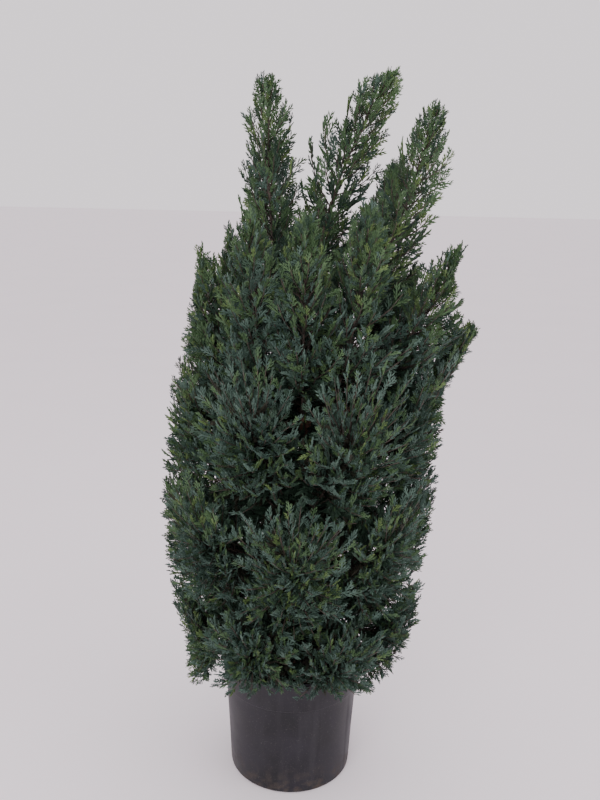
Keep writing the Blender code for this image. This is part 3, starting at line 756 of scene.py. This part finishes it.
def sprayMesh(number):  # one flat spray of a unit length along +Y
    shape, rng = sprayShape, random.Random(sprayShape["seed"] + number)
    thick, sides, jitter = shape["thick"], shape["sides"], shape["leanJitter"]
    sway = rng.uniform(-shape["sway"], shape["sway"])
    droop = shape["droop"] * rng.uniform(-1, 1)

    def axis(y):
        return np.array((sway * math.sin(math.pi * y), y, droop * y * y))

    chains = [(np.array([axis(y) for y in shape["axis"]]), (thick, thick * shape["taper"]))]
    for k in range(sides):
        y = shape["low"] + shape["over"] * (k + rng.uniform(-shape["uneven"], shape["uneven"])) / sides
        lean = math.radians(shape["lean"] + rng.uniform(-jitter, jitter)) * (1 if k % 2 else -1)
        length = shape["sideLength"] * (1.0 - shape["shorter"] * y) * rng.uniform(*shape["lengths"])
        if k < 2:
            length *= shape["firstPair"]
        rise = rng.uniform(-shape["rise"], shape["rise"])
        heading = np.array((math.sin(lean), math.cos(lean), rise))
        curl = np.array((-math.sin(lean) * shape["curl"][0], shape["curl"][1], 0.0))
        root = axis(max(y, shape["lowest"]))
        line = [root + heading * length * q + curl * length * q * q for q in shape["shoot"]]
        chains.append((np.array(line), (thick * rng.uniform(*shape["widths"]),)))
    points, faces = cords(chains)
    return meshOf(f"spray_{number}", points, faces, smooth=False)


def scatterTree():  # sets one of the shapes on each point, turned and sized, and makes them all real
    tree = bpy.data.node_groups.new("shapesOnPoints", "GeometryNodeTree")
    sockets = {}
    for name, kind in (
        ("Geometry", "Geometry"), ("Shapes", "Collection"), ("Last", "Int"), ("Seed", "Int"),
        ("Finish", "Material"),
    ):
        made = tree.interface.new_socket(name=name, in_out="INPUT", socket_type="NodeSocket" + kind)
        sockets[name] = made.identifier
    tree.interface.new_socket(name="Geometry", in_out="OUTPUT", socket_type="NodeSocketGeometry")
    make = tree.nodes.new
    given, result = make("NodeGroupInput"), make("NodeGroupOutput")
    shapes, pick = make("GeometryNodeCollectionInfo"), make("FunctionNodeRandomValue")
    spin, setOn = make("FunctionNodeEulerToRotation"), make("GeometryNodeInstanceOnPoints")
    real, finish = make("GeometryNodeRealizeInstances"), make("GeometryNodeSetMaterial")
    shapes.inputs["Separate Children"].default_value = True
    shapes.inputs["Reset Children"].default_value = True
    pick.data_type = "INT"
    pick.inputs[4].default_value = 0  # from the first shape to the last
    setOn.inputs["Pick Instance"].default_value = True
    read = {}
    for name, kind in (("turn", "FLOAT_VECTOR"), ("size", "FLOAT")):
        reader = make("GeometryNodeInputNamedAttribute")
        reader.data_type = kind
        reader.inputs["Name"].default_value = name
        read[name] = [o for o in reader.outputs if o.enabled][0]
    for output, place in (
        (given.outputs["Shapes"], shapes.inputs["Collection"]),
        (given.outputs["Last"], pick.inputs[5]),
        (given.outputs["Seed"], pick.inputs["Seed"]),
        (read["turn"], spin.inputs[0]),
        (given.outputs["Geometry"], setOn.inputs["Points"]),
        (shapes.outputs[0], setOn.inputs["Instance"]),
        (pick.outputs[2], setOn.inputs["Instance Index"]),
        (spin.outputs[0], setOn.inputs["Rotation"]),
        (read["size"], setOn.inputs["Scale"]),
        (setOn.outputs[0], real.inputs[0]),
        (real.outputs[0], finish.inputs["Geometry"]),
        (given.outputs["Finish"], finish.inputs["Material"]),
        (finish.outputs[0], result.inputs[0]),
    ):
        tree.links.new(output, place)
    return tree, sockets


def scatter(name, grower, shapes, points, turns, sizes, material, seed):
    tree, sockets = grower
    cloud = bpy.data.meshes.new(name)
    cloud.from_pydata([tuple(p) for p in points], [], [])
    cloud.attributes.new("turn", "FLOAT_VECTOR", "POINT").data.foreach_set("vector", turns.ravel())
    cloud.attributes.new("size", "FLOAT", "POINT").data.foreach_set("value", sizes)
    holder = shown(name, cloud)
    grow = holder.modifiers.new("grow", "NODES")
    grow.node_group = tree
    given = {"Shapes": shapes, "Last": len(shapes.objects) - 1, "Seed": seed, "Finish": material}
    for key, value in given.items():
        grow[sockets[key]] = value
    mesh = evaluatedMesh(holder)
    bpy.data.objects.remove(holder, do_unlink=True)
    for layer in [a.name for a in mesh.attributes if a.name in ("turn", "size")]:
        mesh.attributes.remove(mesh.attributes[layer])
    mesh.name = name
    return mesh


def shapeCollection(name, meshes):
    group = bpy.data.collections.new(name)
    for mesh in meshes:
        group.objects.link(bpy.data.objects.new(mesh.name, mesh))
    return group


def dropCollection(group):
    for item in list(group.objects):
        bpy.data.objects.remove(item, do_unlink=True)
    bpy.data.collections.remove(group)


def turnsOf(heads, normals):  # Euler turns that lay +Y along the head and +Z along the normal
    side = unit(np.cross(heads, normals))
    up = np.cross(side, heads)
    turns = np.empty((len(heads), 3), dtype=np.float32)
    for k in range(len(heads)):
        turns[k] = Matrix((side[k], heads[k], up[k])).transposed().to_euler()
    return turns


# foliage

foliageColours = {  # dark and light of each kind of green, and its gloss
    "blueGreen": ((0.024, 0.050, 0.041), (0.090, 0.145, 0.112), 0.28),
    "deepGreen": ((0.013, 0.029, 0.020), (0.045, 0.083, 0.052), 0.24),
    "midGreen": ((0.026, 0.056, 0.026), (0.083, 0.146, 0.061), 0.28),
    "freshGreen": ((0.044, 0.082, 0.028), (0.130, 0.196, 0.064), 0.28),
    "innerBrown": ((0.012, 0.013, 0.010), (0.038, 0.036, 0.024), 0.18),
}
colourChances = np.array((  # of each: anywhere, more when high, left, right, inner, and in patches
    (0.56, -0.50, -0.26, -0.08, 0.0, 0.5),
    (0.20, 0.06, 0.0, 0.0, 0.6, 0.0),
    (0.22, 0.50, 0.24, 0.14, 0.0, -0.3),
    (0.02, 0.11, 0.11, 0.05, 0.0, -0.2),
    (0.01, 0.0, 0.0, 0.0, 0.30, 0.0),
))
colourPlaces = {  # where each of these begins, and over what length it grows
    "high": (0.56, 0.15), "left": (0.07, 0.07), "right": (0.11, 0.06),
    "inner": (-0.80, 0.35), "innerLow": (-0.70, 0.08),  # counted inwards and downwards
}
colourRules = {
    "highLeft": 0.5, "patchScale": 16.0, "least": 0.01, "noBrownAbove": 0.60, "seed": 77,
    "deep": (0.04, 0.76, 0.0, 0.0, 0.20),  # chances of the sprays deep in the crown
    "deepHigh": (0.15, 0.60, 0.22, 0.0, 0.03),
}


def ramp(value, start, length):
    return np.clip((value - start) / length, 0, 1)


def dealColours(points, deep):  # which green each spray gets, by where it grows
    places, rules = colourPlaces, colourRules
    rng = np.random.default_rng(rules["seed"])
    x, y, z = points.T
    out = np.sqrt((x / sideReach(z, x > 0)) ** 2 + (y / frontReach(z)) ** 2)
    high, right = ramp(z, *places["high"]), ramp(x, *places["right"])
    left = ramp(-x, *places["left"]) * (1 - high * rules["highLeft"])
    inner = ramp(-out, *places["inner"]) * ramp(-z, *places["innerLow"])
    patch = np.array([noise.noise(Vector(p) * rules["patchScale"]) for p in points])
    chances = np.stack([np.ones(len(points)), high, left, right, inner, patch], axis=1) @ colourChances.T
    chances = np.maximum(chances, rules["least"])
    upper = z > rules["noBrownAbove"]
    chances[upper, -1] = 0.0
    chances[deep] = rules["deep"]
    chances[deep & upper] = rules["deepHigh"]
    limits = np.cumsum(chances / chances.sum(1, keepdims=True), axis=1)
    return (rng.random(len(points))[:, None] > limits).sum(1)


twigSizes = {"radius": 0.0010, "tip": 0.0005, "points": (0.0, 0.32, 0.64, 0.92), "sides": 3}
foliagePieces = {"mostTriangles": 190000, "firstSeed": 3}


def growCrown(limbs, crown):  # lines of twigs, and root, heading, normal and length of each spray, and if deep
    lines, groups = [], []
    t = np.array(twigSizes["points"])[:, None]
    outlineEnds, outlineOwner = outlinePoints(crown)
    for number, limb in enumerate(limbs):
        twigsOf = plumeTwigs if limb.habit is plume else tuftTwigs
        grown = twigsOf(limb, crown), twigsTo(limb, outlineEnds[outlineOwner == number])
        starts, bends, ends = (np.concatenate(v) for v in zip(*grown))
        lines += [curvePoint(*twig, t) for twig in zip(starts, bends, ends)]
        groups.append((False, spraysOn(limb, crown, starts, bends, ends)))
        groups.append((False, spraysAtEnd(limb)))
        groups.append((True, spraysInside(limb, crown)))
    groups.append((True, spraysOnTrunk()))
    sprays = [(*group, np.full(len(group[0]), deep)) for deep, group in groups]
    return lines, [np.concatenate(v) for v in zip(*sprays)]


def makeFoliage(limbs, grower):
    lines, (roots, heads, normals, lengths, deep) = growCrown(limbs, CrownSpace(limbs))
    radius = np.linspace(twigSizes["radius"], twigSizes["tip"], len(twigSizes["points"]))
    points, faces = tubes(lines, [radius] * len(lines), twigSizes["sides"])
    addPiece("twigs", meshOf("twigs", points, faces), twigFinish(), massNames)
    print("twigs:", len(lines), "sprays:", len(roots))
    shapes = [sprayMesh(k) for k in range(sprayShape["variants"])]
    triangles = max(sum(len(f.vertices) - 2 for f in m.polygons) for m in shapes)
    most = int(foliagePieces["mostTriangles"] / triangles)
    group = shapeCollection("sprayShapes", shapes)
    turns, sizes = turnsOf(heads, normals), lengths.astype(np.float32)
    dealt = dealColours(roots + heads * lengths[:, None], deep)
    for number, (colour, look) in enumerate(foliageColours.items()):
        material = foliageFinish(colour, *look)
        chosen = np.flatnonzero(dealt == number)
        for part, start in enumerate(range(0, len(chosen), most)):
            pick = chosen[start:start + most]
            name, seed = f"foliage_{colour}_{part + 1}", foliagePieces["firstSeed"] + number
            mesh = scatter(name, grower, group, roots[pick], turns[pick], sizes[pick], material, seed)
            addPiece(name, mesh, None, massNames)
            print(name, len(pick), "sprays", len(mesh.polygons), "faces")
    dropCollection(group)


# bark

barkSizes = {
    "boughRadius": 0.0040, "boughTip": 0.0024, "stemRadius": 0.0021, "stemTip": 0.0007, "stemEnd": 0.97,
    "ridge": 0.10,  # depth of the bark's ridges, of the radius
    "ridgeScale": 260.0, "ridgeStretch": 0.14, "grain": 0.4, "grainScale": 700.0,
    "trunkPieces": 120, "trunkCrowding": 1.3, "trunkSides": 26, "boughPoints": 26, "boughSides": 12,
    "stemPoints": 20, "stemSides": 6, "buried": 0.6,  # a bough starts this far out, of the trunk's radius
}


def barkRelief(points):  # long ridges that run up the limb
    scale = barkSizes["ridgeScale"]
    scale = Vector((scale, scale, scale * barkSizes["ridgeStretch"]))
    lift = []
    for p in points.reshape(-1, 3):
        grain = barkSizes["grain"] * noise.noise(Vector(p) * barkSizes["grainScale"])
        lift.append(noise.noise(Vector(p) * scale) + grain)
    return 1.0 + barkSizes["ridge"] * np.array(lift).reshape(points.shape[:2])


def makeBark(limbs):
    sizes, bark = barkSizes, barkFinish()
    z = trunkHeights(sizes["trunkPieces"], sizes["trunkCrowding"])
    points, faces = tubes([trunkPoint(z)], [trunkRadius(z)], sizes["trunkSides"], barkRelief)
    addPiece("trunkBark", meshOf("trunkBark", points, faces), bark, ["trunk"])
    lines, radii = [], []
    for limb in [limb for limb in limbs if limb.share]:
        line = limb.at(np.linspace(0.0, limb.share, sizes["boughPoints"]))
        away = np.hypot(*(line - trunkPoint(line[:, 2]))[:, :2].T)
        keep = away > trunkRadius(line[:, 2]) * sizes["buried"]
        lines.append(line[keep])
        radii.append(np.linspace(sizes["boughRadius"], sizes["boughTip"], len(line))[keep])
    points, faces = tubes(lines, radii, sizes["boughSides"], barkRelief)
    addPiece("boughBark", meshOf("boughBark", points, faces), bark, boughNames)
    stems = [limb.at(np.linspace(limb.share, sizes["stemEnd"], sizes["stemPoints"])) for limb in limbs]
    radius = np.linspace(sizes["stemRadius"], sizes["stemTip"], sizes["stemPoints"])
    points, faces = tubes(stems, [radius] * len(stems), sizes["stemSides"])
    addPiece("stems", meshOf("stems", points, faces), twigFinish(), massNames)
    print("bark:", len(lines), "boughs,", len(stems), "stems")


# pot

potSizes = {
    "footRadius": 0.0795, "corner": 0.004, "footRing": 0.012, "collarHeight": 0.125, "collarRadius": 0.0885,
    "collarStep": 0.0028, "rimHeight": 0.165, "rimRadius": 0.0912, "bead": 0.0016,
    "wall": 0.0018, "floor": 0.0024, "sides": 144, "innerCorner": 0.6, "creases": 35,
    "lowWall": (0.0004, 0.010), "midWall": (0.0029, 0.060),  # out from the foot, and height
    "underCollar": (0.0003, 0.012), "overCollar": (0.0006, 0.010),  # in and down, and out and up
    "hollow": 0.0012, "edge": 0.0010, "edgeLift": 0.0002, "lip": 0.0008,  # small radii
    "holes": 6, "holeRadius": 0.006, "holeCircle": 0.055, "holeSides": 24, "holeDepth": 0.016,
}


def arc(centre, radius, start, end, count):
    turns = np.radians(np.linspace(start, end, count))
    return [(centre[0] + radius * math.cos(t), centre[1] + radius * math.sin(t)) for t in turns]


def turned(name, profile, sides):  # profile of (radius, height) from the axis round to the axis
    inner = np.array(profile[1:-1])
    turn = math.tau * np.arange(sides) / sides
    x = inner[None, :, 0] * np.sin(turn)[:, None]
    y = -inner[None, :, 0] * np.cos(turn)[:, None]
    z = np.repeat(inner[None, :, 1], sides, 0)
    poles = [(0, 0, profile[0][1]), (0, 0, profile[-1][1])]
    points = np.concatenate([np.stack([x, y, z], 2).reshape(-1, 3), poles])
    count, low = len(inner), len(points) - 2
    faces = []
    for k in range(sides):
        a, b = k * count, (k + 1) % sides * count
        faces.append((low, a, b))
        faces.append((low + 1, b + count - 1, a + count - 1))
        faces += [(a + j, a + j + 1, b + j + 1, b + j) for j in range(count - 1)]
    mesh = meshOf(name, points, faces)
    shape = bmesh.new()
    shape.from_mesh(mesh)
    bmesh.ops.recalc_face_normals(shape, faces=shape.faces)
    shape.to_mesh(mesh)
    shape.free()
    return mesh


def potInner():  # inner wall, from the rim down to the floor
    p = potSizes
    return [
        (p["rimRadius"] - p["wall"], p["rimHeight"] - p["lip"]),
        (p["collarRadius"] - p["wall"], p["collarHeight"]),
        (p["collarRadius"] - p["collarStep"] - p["wall"], p["collarHeight"] - p["collarStep"]),
        (p["footRadius"] - p["wall"], p["corner"] + p["floor"]),
        (p["footRadius"] - p["wall"] - p["corner"] * p["innerCorner"], p["floor"]),
    ]


def potProfile():
    p = potSizes
    foot, corner, bead, lip = p["footRadius"], p["corner"], p["bead"], p["lip"]
    collar, height, step = p["collarRadius"], p["collarHeight"], p["collarStep"]
    rim, top = p["rimRadius"], p["rimHeight"]
    profile = [(0.0, 0.0), (foot - p["footRing"], 0.0)]
    profile += arc((foot - corner, corner), corner, -90, 0, 6)
    profile += [(foot + out, z) for out, z in (p["lowWall"], p["midWall"])]
    profile += [(collar - step - p["underCollar"][0], height - p["underCollar"][1])]
    profile += arc((collar - step + p["hollow"], height - step), p["hollow"], 180, 110, 4)
    profile += arc((collar - p["edge"], height + p["edgeLift"]), p["edge"], -80, 0, 5)
    profile += [(collar + p["overCollar"][0], height + p["overCollar"][1]), (rim, top - 4 * bead)]
    profile += arc((rim, top - 2 * bead), bead, -80, 80, 9)
    profile += arc((rim - 0.5 * p["wall"], top - lip), lip, 60, 150, 4)
    return profile + potInner() + [(0.0, p["floor"])]


def drainCutter():
    p, shape = potSizes, bmesh.new()
    for k in range(p["holes"]):
        turn = math.tau * (k + 0.5) / p["holes"]
        place = Vector((p["holeCircle"] * math.sin(turn), -p["holeCircle"] * math.cos(turn), 0.0))
        bmesh.ops.create_cone(
            shape, cap_ends=True, segments=p["holeSides"], radius1=p["holeRadius"],
            radius2=p["holeRadius"], depth=p["holeDepth"], matrix=Matrix.Translation(place),
        )
    mesh = bpy.data.meshes.new("drainCutter")
    shape.to_mesh(mesh)
    shape.free()
    return shown("drainCutter", mesh)


def makePot():
    holder = shown("potShell", turned("potShell", potProfile(), potSizes["sides"]))
    cutter = drainCutter()
    cut = holder.modifiers.new("drain", "BOOLEAN")
    cut.operation, cut.object = "DIFFERENCE", cutter
    made = evaluatedMesh(holder)
    for item in (holder, cutter):
        bpy.data.objects.remove(item, do_unlink=True)
    made.shade_smooth()
    made.set_sharp_from_angle(angle=math.radians(potSizes["creases"]))
    addPiece("potShell", made, potFinish(), ["pot"])
    print("pot:", len(made.polygons), "faces")


# soil

soilSizes = {
    "top": 0.145, "dome": 0.002, "gap": 0.0003, "sides": 96, "rings": 26, "outerRing": 0.98,
    "innerRing": 0.03, "edgeIn": 0.0004, "edgeDown": 0.0015, "wallEnd": 0.006, "below": 0.0001,
    "lumps": 0.0016, "lumpScale": 140.0, "grain": 0.6, "grainScale": 420.0, "settled": 0.0004,
}
crumbSizes = {
    "count": 900, "size": 0.0022, "sizes": (0.35, 1.0), "fewLarge": 1.5, "shapes": 4, "seed": 5,
    "pickSeed": 9, "fromEdge": 0.004, "fromTrunk": 0.001, "height": (-0.0004, 0.0010),
    "tilt": 0.5,  # radians
    "stretch": ((0.7, 1.4), (0.4, 0.8), (0.3, 0.6)), "rough": (0.8, 1.2),
}


def makeSoil(grower):
    s, gap, finish = soilSizes, soilSizes["gap"], soilFinish()
    walls = sorted((z, r - gap) for r, z in potInner())
    edge = float(np.interp(s["top"], [w[0] for w in walls], [w[1] for w in walls]))
    low, rimTop = walls[0][0] + gap, s["top"] - s["dome"]
    profile = [(0.0, low), (walls[0][1], low)]
    profile += [(r, z) for z, r in walls if low < z < s["top"] - s["wallEnd"]]
    profile.append((edge - s["edgeIn"], rimTop - s["edgeDown"]))
    share = np.linspace(s["outerRing"], s["innerRing"], s["rings"])
    profile += [(edge * q, s["top"] - s["dome"] * q * q) for q in share] + [(0.0, s["top"])]
    mesh = turned("compost", profile, s["sides"])
    for vert in mesh.vertices:
        if vert.co.z > rimTop - s["below"]:
            rough = noise.noise(vert.co * s["lumpScale"])
            rough += s["grain"] * noise.noise(vert.co * s["grainScale"])
            vert.co.z += s["lumps"] * rough - s["settled"]
    addPiece("compost", mesh, finish, ["soil"])
    makeCrumbs(edge, finish, grower)


def crumbMesh(number):
    shape, rough = bmesh.new(), random.Random(number)
    bmesh.ops.create_icosphere(shape, subdivisions=1, radius=1.0)
    stretch = Vector([rough.uniform(*limits) for limits in crumbSizes["stretch"]])
    for vert in shape.verts:
        vert.co = vert.co * stretch * rough.uniform(*crumbSizes["rough"])
    mesh = bpy.data.meshes.new(f"crumb_{number}")
    shape.to_mesh(mesh)
    shape.free()
    return mesh


def makeCrumbs(edge, finish, grower):
    c, rng = crumbSizes, np.random.default_rng(crumbSizes["seed"])
    radius = (edge - c["fromEdge"]) * np.sqrt(rng.random(c["count"]))
    turn = rng.random(c["count"]) * math.tau
    away = radius > trunk["flareRadius"] + c["fromTrunk"]
    radius, turn = radius[away], turn[away]
    height = soilSizes["top"] - soilSizes["dome"] * (radius / edge) ** 2
    height = height + rng.uniform(*c["height"], len(radius))
    points = np.stack([radius * np.sin(turn), -radius * np.cos(turn), height], 1)
    turns = rng.uniform(-c["tilt"], c["tilt"], (len(points), 3)).astype(np.float32)
    turns[:, 2] = rng.uniform(0, math.tau, len(points))
    sizes = (c["size"] * rng.uniform(*c["sizes"], len(points)) ** c["fewLarge"]).astype(np.float32)
    group = shapeCollection("crumbShapes", [crumbMesh(k) for k in range(c["shapes"])])
    mesh = scatter("compostCrumbs", grower, group, points, turns, sizes, finish, c["pickSeed"])
    dropCollection(group)
    addPiece("compostCrumbs", mesh, None, [])
    print("soil:", len(points), "crumbs")


# floor, light and camera

studio = {"floor": 40.0, "air": (0.88, 0.815, 0.855), "strength": 1.50, "aim": (0.0, 0.0, 0.42)}
lights = {  # place, size and watts
    "frontLight": ((-0.6, -1.8, 1.15), 1.2, 20.0),
    "sideLight": ((1.7, -0.9, 1.3), 1.2, 8.0),
    "topLight": ((0.1, 0.4, 2.4), 1.3, 4.0),
}


def makeStage():
    bpy.ops.mesh.primitive_plane_add(size=studio["floor"])
    floor = bpy.context.object
    floor.name = "floor"
    floor.data.materials.append(floorFinish())
    world = bpy.data.worlds.new("paleRoom")
    bpy.context.scene.world = world
    world.use_nodes = True
    back = world.node_tree.nodes["Background"]
    back.inputs["Color"].default_value = (*studio["air"], 1.0)
    back.inputs["Strength"].default_value = studio["strength"]
    for name, (place, size, power) in lights.items():
        data = bpy.data.lights.new(name, "AREA")
        data.energy, data.size = power, size
        light = shown(name, data)
        light.location = place
        aim = Vector(studio["aim"]) - Vector(place)
        light.rotation_euler = aim.to_track_quat("-Z", "Y").to_euler()
    print("stage: floor and", len(lights), "lights")


view = {
    "place": (0.0034, -1.009, 0.762), "pitch": 14.49,  # looking down
    "roll": 0.0219,  # radians
    "focalPixels": 850.0, "longSide": 800, "sensor": 36.0,
}


def makeCamera():
    data = bpy.data.cameras.new("camera")
    data.sensor_width = view["sensor"]
    data.lens = view["focalPixels"] / view["longSide"] * view["sensor"]
    camera = shown("camera", data)
    tilt = Matrix.Rotation(math.pi / 2 - math.radians(view["pitch"]), 4, "X")
    roll = Matrix.Rotation(view["roll"], 4, "Z")
    camera.matrix_world = Matrix.Translation(Vector(view["place"])) @ tilt @ roll
    bpy.context.scene.camera = camera
    print("camera: focal length", round(data.lens, 1), "mm")


makeCamera()
makeStage()
makePot()
grower = scatterTree()
makeSoil(grower)
limbs = growLimbs()
makeBark(limbs)
makeFoliage(limbs, grower)
